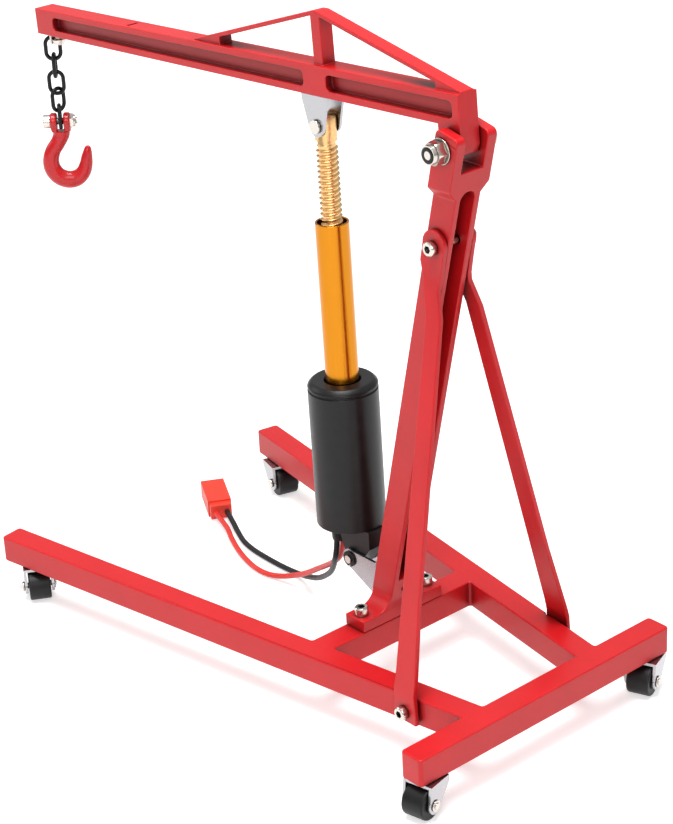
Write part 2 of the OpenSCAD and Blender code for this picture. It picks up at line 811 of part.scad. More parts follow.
module tail_mount() {
  color(BLACK)
    difference() {
      intersection() {
        across(-tail_half, tail_half) {
          polygon([[tail_x - 2.2, tail_z - 1.6], [tail_x + 2, tail_z - 2],
            [tail_x + 7.2, tail_z + 4.8], [tail_x + 7.2, tail_z + 12], [tail_x - 4.8, tail_z + 12],
            [tail_x - 4.8, tail_z + 5]]);
          translate([tail_x, tail_z]) circle(2.7);
        }
        on_axis() translate([-30, -30, housing_bottom - 30]) cube([60, 60, 30]);
      }
      pin(tail_x, tail_z, tail_pin_r + pin_gap, -9, 9);
    }
}

module grommet_place() {
  translate([-5.6, 0, housing_bottom]) children();
}

module cable_grommet() {
  color(BLACK)
    on_axis()
      grommet_place()
        difference() {
          union() {
            translate([0, 0, -boot_length]) cylinder(r1 = 2.25, r2 = 2.9, h = boot_length);
            cylinder(r = 2.6, h = housing_floor);
          }
          for (s = [-1, 1])
            translate([0, s * 1.1, -boot_length - 1]) cylinder(r = lead_r, h = boot_length + 5);
        }
}

// Casters
module at_caster(i) {
  translate([CASTERS[i][0], CASTERS[i][1], 0]) rotate([0, 0, CASTERS[i][2] - 90]) children();
}

module caster_fork(i) {
  color(STEEL)
    at_caster(i)
      difference() {
        union() {
          translate([-3.6, -fork_half, fork_top_z - fork_t]) cube([7.8, 2 * fork_half, fork_t]);
          for (s = [-1, 1])
            scale([1, s, 1])
              across(fork_half - fork_t, fork_half) {
                polygon([[-3.6, fork_top_z], [4.2, fork_top_z], [trail + 2.3, axle_z],
                  [trail - 2.2, axle_z - 1], [-3.6, fork_top_z - 1.6]]);
                translate([trail, axle_z]) circle(2.4);
              }
        }
        translate([0, 0, fork_top_z - 2]) cylinder(r = rivet_r + pin_gap, h = 4);
        pin(trail, axle_z, axle_r, -9, 9);
      }
}

module caster_wheel(i) {
  color(BLACK)
    at_caster(i)
      translate([trail, 0, axle_z])
        rotate([90, 0, 0])
          rotate_extrude()
            polygon([[axle_r + pin_gap, -wheel_width / 2], [wheel_d / 2 - 0.3, -wheel_width / 2],
              [wheel_d / 2, 0.3 - wheel_width / 2], [wheel_d / 2, wheel_width / 2 - 0.3],
              [wheel_d / 2 - 0.3, wheel_width / 2], [axle_r + pin_gap, wheel_width / 2]]);
}

module caster_axle(i) {
  color(STEEL)
    at_caster(i) {
      pin(trail, axle_z, axle_r, -fork_half - 0.1, fork_half + 0.7);
      pin(trail, axle_z, axle_r + 0.5, -fork_half - 0.7, -fork_half);
      pin(trail, axle_z, axle_r + 0.7, fork_half, fork_half + 0.4);
    }
}

module caster_rivets() {
  color(STEEL)
    for (i = [0 : 3])
      at_caster(i) {
        translate([0, 0, fork_top_z - fork_t - face_gap - 0.3])
          cylinder(r = rivet_r, h = 4.3 + face_gap);
        translate([0, 0, fork_top_z - fork_t - face_gap - 0.3]) cylinder(r = 2, h = 0.3);
      }
}

// A chain link: two bends and two straights, standing in its own plane
module chain_link(i) {
  straight = link_length - link_width;
  color(BLACK)
    translate([chain_x, 0, link_z(i)])
      rotate([90, 0, LINK_ANGLES[i]]) {
        for (s = [0, 1])
          rotate([0, 0, 180 * s])
            translate([0, straight / 2, 0]) {
              rotate_extrude(angle = 180) translate([link_bend, 0]) circle(wire / 2);
              translate([link_bend, -straight - 0.01, 0])
                rotate([-90, 0, 0]) cylinder(r = wire / 2, h = straight + 0.02);
            }
      }
}

// Side view of the hook's blade, with the bolt at the origin
module hook_side() {
  difference() {
    union() {
      translate([1.4, -14.2]) circle(7.1);
      polygon([[-1.9, -2], [2.8, -2], [2.8, -3.2], [-0.9, -11.7], [-5.6, -13], [-5.3, -11.2],
        [-4.5, -8.7], [-3.3, -6.6], [-1.9, -3.6]]);
    }
    translate([1.8, -13.2]) circle(3);
    polygon([[-1, -13.2], [-0.7, -11], [0, -9.2], [1.9, -5.4], [2.9, -3], [12, -3], [12, -13.2]]);
  }
  polygon([[4.75, -13.2], [8.5, -14.2], [8.6, -9.4], [6.4, -8.8]]);
  translate([7.5, -9.3]) circle(1.15);
}

module on_hook() {
  translate([chain_x, 0, hook_bolt_z]) rotate([0, 0, hook_angle]) children();
}

module hook() {
  color(STEEL)
    on_hook()
      difference() {
        union() {
          across(-hook_t / 2, hook_t / 2) hook_side();
          along(-3, 3) {
            circle(lobe_r);
            polygon([[-lobe_r, 0], [lobe_r, 0], [hook_t / 2, -6], [-hook_t / 2, -6]]);
          }
        }
        translate([-hook_slot / 2, -10, -3.9]) cube([hook_slot, 20, 20]);
        rotate([0, 90, 0]) cylinder(r = hook_bolt_r, h = 20, center = true);
      }
}

module hook_bolt() {
  color(STEEL)
    on_hook() translate([-3, 0, 0]) rotate([0, -90, 0]) cap_screw(hook_bolt_r, 8.2, 2.1, 2.2);
}

module hook_nut() {
  color(STEEL) on_hook() translate([3, 0, 0]) rotate([0, 90, 0]) lock_nut(4, hook_bolt_r, 1.6);
}

// A cord along a smooth curve through its points
function curve(p, i, t) =
  let (a = p[max(i - 1, 0)], b = p[i], c = p[i + 1], d = p[min(i + 2, len(p) - 1)])
  0.5 * (2 * b + (c - a) * t + (2 * a - 5 * b + 4 * c - d) * t * t
    + (3 * b - a - 3 * c + d) * t * t * t);
function path(p, n) =
  concat([for (i = [0 : len(p) - 2], k = [0 : n - 1]) curve(p, i, k / n)], [p[len(p) - 1]]);
function unit(v) = v / norm(v);
function heading(q, i) = unit(q[min(i + 1, len(q) - 1)] - q[max(i - 1, 0)]);
function ring(q, i, r, n) =
  let (t = heading(q, i), a = unit(cross(t, [0.13, 0.05, 0.99])), b = cross(t, a))
  [for (k = [0 : n - 1]) q[i] + r * (cos(360 * k / n) * a + sin(360 * k / n) * b)];

module cord(points, r) {
  q = path(points, ring_steps);
  n = ring_sides;
  last = len(q) - 1;
  faces = concat(
    [[for (k = [0 : n - 1]) k]],
    [for (i = [0 : last - 1], k = [0 : n - 1])
      [i * n + k, (i + 1) * n + k, (i + 1) * n + (k + 1) % n, i * n + (k + 1) % n]],
    [[for (k = [n - 1 : -1 : 0]) last * n + k]]);
  polyhedron([for (i = [0 : last]) each ring(q, i, r, n)], faces, convexity = 6);
}

module lead_red() {
  color(RED) cord(RED_ROUTE, lead_r);
}

module lead_black() {
  color(BLACK) cord(BLACK_ROUTE, lead_r);
}

module lead_plug() {
  color(RED)
    translate(plug_at)
      rotate([0, 0, plug_angle])
        difference() {
          union() {
            translate([3, -plug_width / 2, 0]) cube([plug_length - 3, plug_width, plug_h]);
            translate([0, 0.4 - plug_width / 2, 0.5]) cube([4, plug_width - 0.8, plug_h - 1]);
          }
          for (s = [-1, 1])
            translate([plug_length - 6, s * 1.8 - 1.2, 1.2]) cube([8, 2.4, plug_h - 2.4]);
        }
}

/* [Which node] */
// Node to draw, or all

base_frame();
mast();
mast_screws();
brace_left();
brace_right();
brace_top_bolt();
brace_top_nut();
brace_foot_screws();
lower_bracket();
lower_bracket_screw();
tail_pin();
tail_clip();
boom_bolt();
boom_nut();
boom_washers();
boom();
boom_bush();
upper_bracket();
upper_bracket_screw();
upper_pin();
chain_screw();
chain_eye();
lead_screw();
outer_tube();
motor_housing();
housing_cap();
motor();
gearbox();
coupler();
thrust_bearing();
tail_mount();
cable_grommet();
caster_fork(0);  // caster_fork_1
caster_fork(1);  // caster_fork_2
caster_fork(2);  // caster_fork_3
caster_fork(3);  // caster_fork_4
caster_wheel(0);  // caster_wheel_1
caster_wheel(1);  // caster_wheel_2
caster_wheel(2);  // caster_wheel_3
caster_wheel(3);  // caster_wheel_4
caster_axle(0);  // caster_axle_1
caster_axle(1);  // caster_axle_2
caster_axle(2);  // caster_axle_3
caster_axle(3);  // caster_axle_4
caster_rivets();
chain_link(0);  // chain_link_1
chain_link(1);  // chain_link_2
chain_link(2);  // chain_link_3
chain_link(3);  // chain_link_4
chain_link(4);  // chain_link_5
hook();
hook_bolt();
hook_nut();
lead_red();
lead_black();
lead_plug();
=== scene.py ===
"""Engine hoist crane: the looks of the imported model, laid out as a Blender add-on."""

import json
import math

import bmesh
import bpy
from mathutils import Matrix, Vector


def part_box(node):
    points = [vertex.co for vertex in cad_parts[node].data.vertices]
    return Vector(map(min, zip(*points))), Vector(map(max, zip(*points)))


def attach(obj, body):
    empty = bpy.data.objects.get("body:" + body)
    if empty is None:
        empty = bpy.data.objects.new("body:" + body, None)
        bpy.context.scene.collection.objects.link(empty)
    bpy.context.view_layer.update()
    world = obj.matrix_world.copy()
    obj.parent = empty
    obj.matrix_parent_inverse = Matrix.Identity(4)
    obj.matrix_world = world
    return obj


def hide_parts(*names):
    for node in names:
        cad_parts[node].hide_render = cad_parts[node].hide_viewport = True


bl_info = {
    "name": "Engine hoist crane",
    "version": (1, 0, 0),
    "blender": (4, 5, 0),
    "location": "View3D > Sidebar > Hoist",
    "description": "Builds the hoist, its actuator, leads and studio round the packed model",
    "category": "Object",
}

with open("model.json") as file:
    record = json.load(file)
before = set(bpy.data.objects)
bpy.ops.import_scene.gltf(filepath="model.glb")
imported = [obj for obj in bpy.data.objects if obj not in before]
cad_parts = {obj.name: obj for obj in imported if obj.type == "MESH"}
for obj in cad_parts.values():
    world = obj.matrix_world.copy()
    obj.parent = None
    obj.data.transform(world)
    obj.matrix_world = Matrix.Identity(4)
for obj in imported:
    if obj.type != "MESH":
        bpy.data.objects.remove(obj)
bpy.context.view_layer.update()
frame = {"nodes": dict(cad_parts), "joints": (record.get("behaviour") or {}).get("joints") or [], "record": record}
MM = 0.001


# ---------------------------------------------------------------- settings


class HOIST_PG_look(bpy.types.PropertyGroup):
    """Sizes and colours of the hoist's finish."""

    paint: bpy.props.FloatVectorProperty(
        name="Paint",
        description="Colour of the powder-coated frame, mast and boom",
        subtype="COLOR",
        size=3,
        min=0.0,
        max=1.0,
        default=(0.62, 0.008, 0.012),
    )
    tube: bpy.props.FloatVectorProperty(
        name="Tube",
        description="Colour of the anodised tube",
        subtype="COLOR",
        size=3,
        min=0.0,
        max=1.0,
        default=(0.55, 0.205, 0.014),
    )
    edge: bpy.props.FloatProperty(
        name="Edge rounding",
        description="Width of the rounded edges on the painted bars",
        default=0.45 * MM,
        min=0.1 * MM,
        max=1.0 * MM,
        unit="LENGTH",
        precision=5,
    )
    thread_depth: bpy.props.FloatProperty(
        name="Thread depth",
        description="Depth of the lead screw's thread",
        default=0.58 * MM,
        min=0.2 * MM,
        max=1.0 * MM,
        unit="LENGTH",
        precision=5,
    )
    thread_pitch: bpy.props.FloatProperty(
        name="Thread pitch",
        description="Distance from one turn of the thread to the next",
        default=1.45 * MM,
        min=1.0 * MM,
        max=3.0 * MM,
        unit="LENGTH",
        precision=5,
    )


class HOIST_PG_studio(bpy.types.PropertyGroup):
    """The camera and the light."""

    azimuth: bpy.props.FloatProperty(
        name="Azimuth", description="Turn of the camera round the hoist",
        default=math.radians(50.283), subtype="ANGLE",
    )
    elevation: bpy.props.FloatProperty(
        name="Elevation", description="Height of the camera as an angle",
        default=math.radians(25.191), subtype="ANGLE",
    )
    roll: bpy.props.FloatProperty(
        name="Roll", description="Tilt of the camera about its own line of sight",
        default=math.radians(-2.966), subtype="ANGLE",
    )
    distance: bpy.props.FloatProperty(
        name="Distance", description="From the camera to the point that it looks at",
        default=0.610443, unit="LENGTH",
    )
    lens: bpy.props.FloatProperty(
        name="Lens", description="Focal length in millimetres", default=122.47, min=20.0,
    )
    world: bpy.props.FloatProperty(
        name="World light", description="Strength of the light from all round",
        default=0.27, min=0.0, max=2.0,
    )


# ---------------------------------------------------------------- materials

MATERIALS = {}


class Nodes:
    """Short names for building a node material."""

    def __init__(self, name):
        self.material = bpy.data.materials.new(name)
        self.material.use_nodes = True
        self.tree = self.material.node_tree
        self.shader = self.tree.nodes["Principled BSDF"]
        coords = self.tree.nodes.new("ShaderNodeTexCoord")
        self.place = coords.outputs["Object"]

    def link(self, a, b):
        self.tree.links.new(a, b)

    def noise(self, scale, detail=3.0, stretch=None):
        place = self.place
        if stretch:
            mapping = self.tree.nodes.new("ShaderNodeMapping")
            mapping.inputs["Scale"].default_value = stretch
            self.link(place, mapping.inputs["Vector"])
            place = mapping.outputs["Vector"]
        node = self.tree.nodes.new("ShaderNodeTexNoise")
        node.inputs["Scale"].default_value = scale
        node.inputs["Detail"].default_value = detail
        self.link(place, node.inputs["Vector"])
        return node.outputs["Fac"]

    def ramp(self, value, stops):
        node = self.tree.nodes.new("ShaderNodeValToRGB")
        ramp = node.color_ramp
        while len(ramp.elements) < len(stops):
            ramp.elements.new(0.5)
        for element, (at, colour) in zip(ramp.elements, stops):
            element.position = at
            element.color = (*colour, 1.0)
        self.link(value, node.inputs["Fac"])
        return node.outputs["Color"]

    def spread(self, value, low, high):
        """The value from 0..1 mapped to low..high."""
        node = self.tree.nodes.new("ShaderNodeMapRange")
        node.inputs["To Min"].default_value = low
        node.inputs["To Max"].default_value = high
        self.link(value, node.inputs["Value"])
        return node.outputs["Result"]

    def mix(self, factor, a, b):
        node = self.tree.nodes.new("ShaderNodeMix")
        node.data_type = "RGBA"
        self.link(factor, node.inputs["Factor"])
        for socket, colour in (("A", a), ("B", b)):
            target = [i for i in node.inputs if i.name == socket and i.type == "RGBA"][0]
            if isinstance(colour, tuple):
                target.default_value = (*colour, 1.0)
            else:
                self.link(colour, target)
        return [o for o in node.outputs if o.type == "RGBA"][0]

    def between(self, value, low, high):
        """0 up to low, 1 from high on."""
        node = self.tree.nodes.new("ShaderNodeMapRange")
        node.inputs["From Min"].default_value = low
        node.inputs["From Max"].default_value = high
        self.link(value, node.inputs["Value"])
        return node.outputs["Result"]

    def edges(self):
        """1 along convex edges, 0 on flats and in hollows."""
        geometry = self.tree.nodes.new("ShaderNodeNewGeometry")
        return self.between(geometry.outputs["Pointiness"], 0.52, 0.62)

    def occlusion_shade(self, reach):
        """Painted shade mask from ambient occlusion: 0 deep in corners and pockets, 1 on open faces."""
        node = self.tree.nodes.new("ShaderNodeAmbientOcclusion")
        node.samples = 8
        node.inputs["Distance"].default_value = reach
        return self.between(node.outputs["AO"], 0.4, 0.92)

    def mottled(self, value, colour, dark, light):
        """The colour from dark to light times itself, as the value has it."""
        return self.ramp(value, [(0.3, shade(colour, dark)), (0.7, shade(colour, light))])

    def bump(self, height, distance, strength):
        node = self.tree.nodes.new("ShaderNodeBump")
        node.inputs["Strength"].default_value = strength
        node.inputs["Distance"].default_value = distance
        self.link(height, node.inputs["Height"])
        self.link(node.outputs["Normal"], self.shader.inputs["Normal"])

    def set(self, **values):
        for name, value in values.items():
            self.shader.inputs[name.replace("_", " ")].default_value = value


def shade(colour, factor):
    return tuple(min(1.0, c * factor) for c in colour)


def powder_coat():
    """Satin powder coat: a fine orange-peel skin, a little lighter along its edges, with painted shade darkening
    its corners and pockets.
    """
    paint = tuple(bpy.context.scene.hoist_look.paint)
    n = Nodes("red_powder_coat")
    body = n.mottled(n.noise(60.0, 4.0), paint, 0.93, 1.05)
    worn = n.mix(n.spread(n.edges(), 0.0, 0.35), body, shade(paint, 1.25))
    # Painted shade: corners and pockets within 5 mm of other faces darken towards 0.22 of the paint colour.
    coat_with_painted_shade = n.mix(n.occlusion_shade(5.0 * MM), shade(paint, 0.22), worn)
    n.link(coat_with_painted_shade, n.shader.inputs["Base Color"])
    n.link(n.spread(n.noise(900.0), 0.34, 0.46), n.shader.inputs["Roughness"])
    n.bump(n.noise(2200.0, 2.0), 0.02 * MM, 0.35)
    n.set(Specular_IOR_Level=0.36, Coat_Weight=0.1, Coat_Roughness=0.25)
    return n.material


def cast_red():
    """Thick glossy paint on the cast hook."""
    paint = tuple(bpy.context.scene.hoist_look.paint)
    n = Nodes("red_cast_paint")
    body = n.mottled(n.noise(220.0, 4.0), paint, 0.85, 1.05)
    n.link(body, n.shader.inputs["Base Color"])
    n.link(n.spread(n.noise(500.0), 0.24, 0.32), n.shader.inputs["Roughness"])
    n.bump(n.noise(500.0, 2.0), 0.015 * MM, 0.3)
    n.set(Specular_IOR_Level=0.3, Coat_Weight=0.35, Coat_Roughness=0.15)
    return n.material


def metal(name, colour, rough, grain, marks_deep, scale, stretch=None, shade_reach=0.0):
    """A bare metal with fine machining marks. Given a reach, sockets and corners that deep get painted shade, near
    black.
    """
    n = Nodes(name)
    marks = n.noise(scale, 4.0, stretch)
    body = n.mottled(marks, colour, 1.0 - grain, 1.0 + grain)
    if shade_reach:
        # Painted shade: sockets and corners darkened towards 0.06 of the metal's colour.
        body = n.mix(n.occlusion_shade(shade_reach), shade(colour, 0.06), body)
    n.link(body, n.shader.inputs["Base Color"])
    n.link(n.spread(marks, *rough), n.shader.inputs["Roughness"])
    n.bump(marks, marks_deep * MM, 0.4)
    n.set(Metallic=1.0)
    return n.material


def gold_anodised():
    colour = tuple(bpy.context.scene.hoist_look.tube)
    return metal("gold_anodised", colour, (0.2, 0.26), 0.025, 0.002, 500.0, (3.0, 3.0, 0.25))


def brass_thread():
    return metal("rolled_brass", (0.72, 0.46, 0.2), (0.24, 0.4), 0.12, 0.012, 1200.0)


def brass_plain():
    return metal("turned_brass", (0.86, 0.55, 0.2), (0.22, 0.32), 0.08, 0.008, 1500.0)


def bright_plate():
    colour = (0.42, 0.42, 0.435)
    return metal("bright_plated_sheet", colour, (0.2, 0.32), 0.03, 0.003, 700.0)


def bright_fastener():
    colour = (0.6, 0.56, 0.51)
    # Painted shade in the sockets and corners, up to 1.4 mm deep.
    return metal("bright_fastener", colour, (0.16, 0.26), 0.03, 0.002, 1400.0, shade_reach=1.4 * MM)


def motor_can():
    return metal("motor_can", (0.45, 0.45, 0.47), (0.3, 0.45), 0.06, 0.01, 800.0)


def dark_finish(name, colour, rough, peel, metallic=0.0):
    """A black skin: housing paint, wheel rubber, blackened steel or lead sleeve."""
    n = Nodes(name)
    body = n.mottled(n.noise(350.0, 4.0), colour, 0.8, 1.3)
    n.link(body, n.shader.inputs["Base Color"])
    n.link(n.spread(n.noise(700.0), *rough), n.shader.inputs["Roughness"])
    n.bump(n.noise(1800.0), peel * MM, 0.35)
    n.set(Specular_IOR_Level=0.28, Metallic=metallic)
    return n.material


def black_housing():
    return dark_finish("black_housing", (0.006, 0.006, 0.0065), (0.3, 0.42), 0.012)


def black_roller():
    return dark_finish("black_roller", (0.006, 0.006, 0.0065), (0.35, 0.5), 0.02)


def black_chain():
    return dark_finish("black_chain", (0.008, 0.008, 0.0085), (0.25, 0.4), 0.02, 0.3)


def black_lead():
    return dark_finish("black_lead", (0.012, 0.012, 0.0135), (0.38, 0.5), 0.015)


def red_plastic(name, colour, rough, peel):
    """A coloured moulding or sleeve."""
    n = Nodes(name)
    body = n.mottled(n.noise(300.0, 4.0), colour, 0.93, 1.05)
    n.link(body, n.shader.inputs["Base Color"])
    n.link(n.spread(n.noise(800.0), *rough), n.shader.inputs["Roughness"])
    n.bump(n.noise(1500.0), peel * MM, 0.3)
    return n.material


def red_lead():
    return red_plastic("red_lead", (0.72, 0.03, 0.02), (0.36, 0.46), 0.01)


def red_plug():
    return red_plastic("red_plug", (0.78, 0.045, 0.02), (0.36, 0.48), 0.015)


def finish(maker):
    """The material that maker builds, built once."""
    if maker not in MATERIALS:
        MATERIALS[maker] = maker()
    return MATERIALS[maker]


# ---------------------------------------------------------------- pieces

BODY_OF = {n: b for b, ns in frame["record"]["behaviour"]["bodies"].items() for n in ns}
JOINTS = {j["name"]: j for j in frame["joints"]}
ACTUATOR_AXIS = Vector(JOINTS["tube_spin"]["axis"]).normalized()
UP = Vector((0.0, 0.0, 1.0))


def circle(count):
    """The cosine and sine of each of count points round a circle."""
    turns = [k / count * math.tau for k in range(count)]
    return [(math.cos(t), math.sin(t)) for t in turns]


def through(knots, steps):
    """A smooth curve through the knots."""
    line = []
    for i in range(len(knots) - 1):
        a, b = knots[max(i - 1, 0)], knots[i]
        c, d = knots[i + 1], knots[min(i + 2, len(knots) - 1)]
        for k in range(steps):
            t = k / steps
            line.append(
                0.5 * (2 * b + (c - a) * t + (2 * a - 5 * b + 4 * c - d) * t * t
                       + (3 * b - a - 3 * c + d) * t ** 3)
            )
    line.append(knots[-1])
    return line


def join_rings(bm, rings):
    """Faces between each ring of vertices and the next."""
    for a, b in zip(rings, rings[1:]):
        for i in range(len(a)):
            j = (i + 1) % len(a)
            bm.faces.new((a[i], a[j], b[j], b[i]))


def close_ends(bm, rings):
    bm.faces.new(list(reversed(rings[0])))
    bm.faces.new(rings[-1])


def smooth_mesh(bm, name):
    """The finished mesh, facing outward and shaded smooth."""
    bmesh.ops.recalc_face_normals(bm, faces=bm.faces)
    mesh = bpy.data.meshes.new(name)
    bm.to_mesh(mesh)
    bm.free()
    mesh.polygons.foreach_set("use_smooth", [True] * len(mesh.polygons))
    return mesh


def dress(node, maker):
    """Gives a CAD node its finish."""
    obj = frame["nodes"][node]
    obj.data.polygons.foreach_set("use_smooth", [True] * len(obj.data.polygons))
    obj.data.set_sharp_from_angle(angle=math.radians(32))
    for slot in obj.material_slots:
        slot.material = finish(maker)
    return obj


def adopt(obj, node, maker, replaces=True):
    """Seats a new piece on a node's body and finish."""
    obj.data.materials.clear()
    obj.data.materials.append(finish(maker))
    if replaces:
        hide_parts(node)
    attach(obj, BODY_OF[node])
    return obj


def piece(name, data):
    """A new object in the scene."""
    obj = bpy.data.objects.new(name, data)
    bpy.context.scene.collection.objects.link(obj)
    return obj


def soften(node, name, maker, width, segments=3, angle=30.0, clamp=True):
    """A copy of a CAD node with rounded edges, which stands for it."""
    source = frame["nodes"][node]
    mesh = source.data.copy()
    bm = bmesh.new()
    bm.from_mesh(mesh)
    bmesh.ops.remove_doubles(bm, verts=bm.verts, dist=0.002 * MM)
    bmesh.ops.dissolve_limit(
        bm, angle_limit=math.radians(0.6), verts=bm.verts, edges=bm.edges
    )
    bm.to_mesh(mesh)
    bm.free()
    mesh.polygons.foreach_set("use_smooth", [True] * len(mesh.polygons))
    obj = piece(name, mesh)
    bevel = obj.modifiers.new("edges", "BEVEL")
    bevel.width = width
    bevel.segments = segments
    bevel.limit_method = "ANGLE"
    bevel.angle_limit = math.radians(angle)
    bevel.use_clamp_overlap = clamp
    return adopt(even_shading(obj), node, maker)


def even_shading(obj):
    """Keeps the flats flat to the eye beside their rounded edges."""
    flats = obj.modifiers.new("flats", "WEIGHTED_NORMAL")
    flats.weight = 60
    return obj


def rounded_loop(corners, radii, steps=6):
    """An outline with each corner rounded; the material lies on its left."""
    points = []
    for i, here in enumerate(corners):
        here = Vector(here)
        back = (Vector(corners[i - 1]) - here).normalized()
        ahead = (Vector(corners[(i + 1) % len(corners)]) - here).normalized()
        half = back.angle(ahead) / 2
        reach = radii[i] / math.tan(half)
        a, b = here + back * reach, here + ahead * reach
        middle = here + (back + ahead).normalized() * radii[i] / math.sin(half)
        for k in range(steps + 1):
            arm = (a - middle).lerp(b - middle, k / steps).normalized()
            points.append(middle + arm * radii[i])
    return points


def plate(name, loops, low, high, edge, steps=4):
    """A flat plate inside its outlines, with rounded upper and lower edges."""
    turns = [math.pi / 2 * k / steps for k in range(steps + 1)]
    profile = [(edge * (1 - math.sin(t)), low + edge * (1 - math.cos(t))) for t in turns]
    profile += [(inset, high + low - z) for inset, z in reversed(profile)]
    bm = bmesh.new()
    rims = ([], [])
    for loop in loops:
        rows = [[] for _ in profile]
        for i, here in enumerate(loop):
            run_in = (here - loop[i - 1]).normalized()
            run_out = (loop[(i + 1) % len(loop)] - here).normalized()
            run = (run_in + run_out).normalized()
            inward = Vector((-run.y, run.x)) / max(0.5, run.dot(run_out))
            for row, (inset, z) in zip(rows, profile):
                at = here + inward * inset
                row.append(bm.verts.new((at.x, at.y, z)))
        join_rings(bm, rows)
        for rim, row in zip(rims, (rows[0], rows[-1])):
            for i in range(len(row)):
                rim.append(bm.edges.get((row[i], row[(i + 1) % len(row)])))
    for rim in rims:
        bmesh.ops.triangle_fill(bm, edges=rim, use_beauty=True)
    return even_shading(piece(name, smooth_mesh(bm, name)))


def base_bars(edge):
    """The welded base: two splayed legs, a middle bar and a rear bar, flush on top.

    In millimetres; each corner has its radius. The legs splay, and have a flat for the brace.
    """
    width, rear, middle, tip = 7.5, 95.8, 39.2, -73.5
    splay = 0.171
    turn = math.atan(splay)

    def outer(x):
        return 24.75 + splay * (rear - x)

    thick = width * math.cos(turn)
    tip_in = (tip - thick * math.sin(turn), outer(tip) - thick * math.cos(turn))
    foot_y, foot_back, foot_front = 27.76, 78.18, 74.2
    half_rear, underside, top = 46.2, 10.5, 18.5
    side = [
        ((rear + width, half_rear), 1.1), ((rear, half_rear), 1.1), ((rear, outer(rear)), 0.7),
        ((foot_back, foot_y), 0.3), ((foot_front, foot_y), 0.2),
        ((foot_front - 0.1, outer(foot_front)), 0.2),
        ((tip, outer(tip)), 1.1), (tip_in, 1.1), ((middle, outer(middle) - width), 0.7),
    ]
    around = side + [((x, -y), r) for (x, y), r in reversed(side)]
    window_front = middle + width
    window = [
        (window_front, width - outer(window_front)), (window_front, outer(window_front) - width),
        (rear, outer(rear) - width), (rear, width - outer(rear)),
    ]
    loops = [
        rounded_loop([c for c, _ in around], [r for _, r in around]),
        rounded_loop(window, [0.7] * 4),
    ]
    metres = [[p * MM for p in loop] for loop in loops]
    obj = plate("base_bars", metres, underside * MM, top * MM, edge)
    return adopt(obj, "base_frame", powder_coat)


def tube_mesh(name, rings, closed_ends=True):
    """A mesh from rings of points, joined one to the next."""
    bm = bmesh.new()
    rows = [[bm.verts.new(p) for p in ring] for ring in rings]
    join_rings(bm, rows)
    if closed_ends:
        close_ends(bm, rows)
    mesh = smooth_mesh(bm, name)
    mesh.set_sharp_from_angle(angle=math.radians(50))
    return mesh


# ---------------------------------------------------------------- leads

# millimetres, from the boot to the plug
LEAD_R = 0.85 * MM
BLACK_ROUTE = [
    (20.8, -1.1, 32.6), (20.9, -1.5, 30), (20.3, -1.7, 26.6), (13.1, 2.4, 18),
    (1.7, 7.4, 9.4), (-8.5, 11.1, 4.2), (-16.3, 13.1, 1.6), (-21.8, 13.3, 1),
    (-27.4, 13.2, 1), (-33.5, 13.4, 1), (-39, 13.9, 1), (-44.6, 15.2, 1),
    (-50.4, 17.5, 1.3), (-54.4, 19, 2.3), (-61.5, 22.1, 2.7),
]
RED_ROUTE = [
    (20.8, 1.1, 32.6), (20.4, 1.2, 29.6), (17.4, 2.3, 24.5), (9.5, 5.5, 18),
    (0.8, 7.5, 12), (-6.1, 8.5, 7.4), (-12.3, 8.8, 4), (-17.8, 8.1, 1.9),
    (-22.7, 7, 1.1), (-28.4, 6.9, 1), (-35.1, 8.3, 1), (-41.9, 10.6, 1),
    (-48.5, 13.4, 1.3), (-53.5, 15.6, 2.3), (-63.3, 18.9, 2.7),
]


def lead(node, name, route, maker):
    """One lead on its route. It starts inside the boot, so that no gap shows there."""
    line = through([Vector(p) * MM for p in route], 8)
    start = line[0] + ACTUATOR_AXIS * 1.5 * MM
    curve = bpy.data.curves.new(name, "CURVE")
    curve.dimensions = "3D"
    curve.bevel_depth = LEAD_R
    curve.bevel_resolution = 5
    curve.use_fill_caps = True
    spline = curve.splines.new("POLY")
    spline.points.add(len(line))
    for point, at in zip(spline.points, [start] + line):
        point.co = (*at, 1.0)
    spline.use_smooth = True
    obj = piece(name, curve)
    adopt(obj, node, maker)
    return obj


# ---------------------------------------------------------------- stage


class HOIST_OT_stage(bpy.types.Operator):
    """Camera, floor and light"""

    bl_idname = "hoist.stage"
    bl_label = "Stage"

    def execute(self, context):
        studio = context.scene.hoist_studio
        camera(studio)
        floor()
        lamps(studio)
        context.scene.view_settings.view_transform = "Standard"
        return {"FINISHED"}


def camera(studio):
    """The camera looks at the hoist from behind its near side."""
    a, e, r = studio.azimuth, studio.elevation, studio.roll
    target = Vector((45.85 * MM, 0.0, 78.5 * MM))
    aside, raised = -15.229 * MM, 1.595 * MM
    back = Vector((math.sin(a) * math.cos(e), -math.cos(a) * math.cos(e), math.sin(e)))
    right = Vector((math.cos(a), math.sin(a), 0.0))
    up = back.cross(right)
    right, up = (
        math.cos(r) * right + math.sin(r) * up,
        -math.sin(r) * right + math.cos(r) * up,
    )
    place = target + aside * right + raised * up + studio.distance * back
    data = bpy.data.cameras.new("studio_camera")
    data.sensor_fit = "HORIZONTAL"
    data.sensor_width = 36.0
    data.lens = studio.lens
    data.clip_start = 0.01
    data.clip_end = 20.0
    obj = bpy.data.objects.new("studio_camera", data)
    obj.matrix_world = Matrix((
        (right.x, up.x, back.x, place.x),
        (right.y, up.y, back.y, place.y),
        (right.z, up.z, back.z, place.z),
        (0.0, 0.0, 0.0, 1.0),
    ))
    bpy.context.scene.collection.objects.link(obj)
    bpy.context.scene.camera = obj


